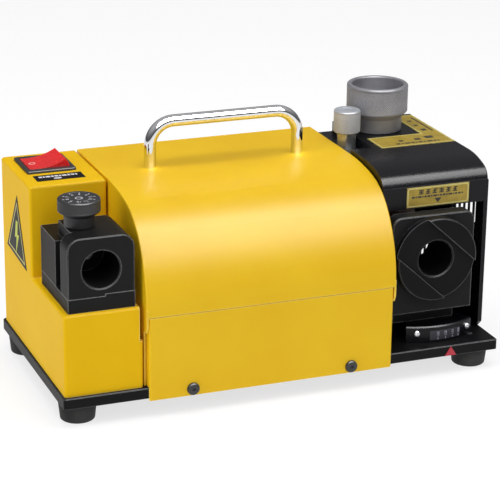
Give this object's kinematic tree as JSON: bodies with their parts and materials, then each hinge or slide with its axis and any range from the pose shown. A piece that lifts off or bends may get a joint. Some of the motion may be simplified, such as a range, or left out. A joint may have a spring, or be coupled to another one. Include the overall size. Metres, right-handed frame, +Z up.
{
  "type": "drill bit sharpener",
  "caption": "Bench drill bit sharpener: yellow sheet housing over a motor, black grinding housing with a swivelling chuck seat and a top port, length setting block and carry handle.",
  "frame": {"origin": "on the floor plane at the middle of the overall box in plan", "axes": "+X from the switch box to the grinding housing, +Y to the rear, +Z up"},
  "size_m": [0.32, 0.1606, 0.181],
  "materials": {
    "base_paint": "satin",
    "rubber": "matte",
    "steel": "satin",
    "yellow_powder_coat": "fine satin powder coat",
    "black_plastic": "moulded",
    "red_plastic": "gloss",
    "brass": "bright",
    "blackened_steel": "blackened",
    "chrome": "mirror",
    "black_powder_coat": "satin",
    "grey_anodised": "knurled, grey anodised",
    "polished_steel": "polished",
    "clear_anodised": "knurled",
    "black_anodised": "black anodised, satin",
    "scale_print": "printed strip",
    "aluminium": "die cast",
    "lamination_steel": "stacked laminations",
    "copper": "enamelled windings",
    "abrasive": "bonded abrasive rim",
    "white_plastic": "moulded",
    "black_plastic_dial": "knurled",
    "gold_label": "printed film",
    "black_label": "printed film",
    "red_label": "printed film"
  },
  "bodies": {
    "frame": {"angle_pointer": "red_label", "band_label": "gold_label", "base_plate": "base_paint", "bearings": "polished_steel", "block_screws": "steel", "box_label": "black_label", "capacitor": "white_plastic", "capacitor_clip": "steel", "carry_handle": "chrome", "cradle_screws": "steel", "foot_screws": "steel", "front_panel": "yellow_powder_coat", "grinding_housing": "black_powder_coat", "guide_pin": "steel", "handle_nuts": "steel", "hazard_label": "black_label", "housing_screws": "steel", "inlet_pins": "brass", "inlet_screws": "steel", "left_end_bell": "aluminium", "motor_cover": "yellow_powder_coat", "motor_cradle": "steel", "motor_shell": "aluminium", "panel_screws": "blackened_steel", "port_tube": "steel", "power_inlet": "black_plastic", "relief_bush": "polished_steel", "right_end_bell": "aluminium", "rocker_pin": "steel", "rubber_feet": "rubber", "setting_base": "black_anodised", "setting_block": "black_anodised", "setting_slab": "black_anodised", "stator_core": "lamination_steel", "stator_windings": "copper", "switch_body": "black_plastic", "switch_box": "yellow_powder_coat", "switch_terminals": "brass", "swivel_pin": "steel", "terminal_block": "white_plastic", "top_label": "gold_label"},
    "rocker": {"rocker": "red_plastic"},
    "dial": {"length_dial": "black_plastic_dial"},
    "stop": {"stop_rod": "polished_steel"},
    "ring": {"port_ring": "grey_anodised"},
    "sleeve": {"port_sleeve": "steel"},
    "relief": {"relief_knob": "clear_anodised"},
    "relief_slide": {"relief_nut": "brass"},
    "seat": {"seat_block": "black_anodised", "seat_sector": "black_anodised", "scale_strip": "scale_print", "clamp_screws": "polished_steel"},
    "disc": {"cam_disc": "black_anodised", "keeper_ring": "steel"},
    "rotor": {"motor_shaft": "polished_steel", "rotor_core": "lamination_steel", "fan": "black_plastic", "wheel_flanges": "steel", "grinding_wheel": "abrasive", "wheel_nut": "steel"}
  },
  "joints": [
    {"name": "rocker_tip", "type": "hinge", "parent": "frame", "child": "rocker", "pos_m": [-0.1347, 0.0488, 0.142], "axis": [0, 1, 0], "range_deg": [0, 24]},
    {"name": "dial_turn", "type": "hinge", "parent": "frame", "child": "dial", "pos_m": [-0.138, -0.0443, 0.1299], "axis": [0, 0, 1], "range_deg": [0, 300]},
    {"name": "stop_slide", "type": "slide", "parent": "frame", "child": "stop", "axis": [0, -1, 0], "range_m": [0, 0.004]},
    {"name": "ring_turn", "type": "hinge", "parent": "frame", "child": "ring", "pos_m": [0.119, 0.0508, 0.1465], "axis": [0, 0, 1], "range_deg": [-360, 720]},
    {"name": "sleeve_slide", "type": "slide", "parent": "frame", "child": "sleeve", "axis": [0, 0, 1], "range_m": [-0.0015, 0.003]},
    {"name": "relief_turn", "type": "hinge", "parent": "frame", "child": "relief", "pos_m": [0.0885, 0.0358, 0.1465], "axis": [0, 0, 1], "range_deg": [-720, 720]},
    {"name": "relief_slide_travel", "type": "slide", "parent": "frame", "child": "relief_slide", "axis": [0, 0, 1], "range_m": [-0.002, 0.002]},
    {"name": "seat_swivel", "type": "hinge", "parent": "frame", "child": "seat", "pos_m": [0.119, -0.0123, 0.0215], "axis": [0, 0, 1], "range_deg": [-2, 11]},
    {"name": "disc_turn", "type": "hinge", "parent": "seat", "child": "disc", "pos_m": [0.1125, -0.0633, 0.085], "axis": [0, 1, 0], "range_deg": [-30, 30]},
    {"name": "rotor_spin", "type": "hinge", "parent": "frame", "child": "rotor", "pos_m": [0, 0.0148, 0.085], "axis": [1, 0, 0], "continuous": true}
  ],
  "couplings": [
    {"joint": "stop_slide", "follows": "dial_turn", "m_per_rad": 0.00076394},
    {"joint": "sleeve_slide", "follows": "ring_turn", "m_per_rad": 0.00023873},
    {"joint": "relief_slide_travel", "follows": "relief_turn", "m_per_rad": 0.00015915}
  ]
}
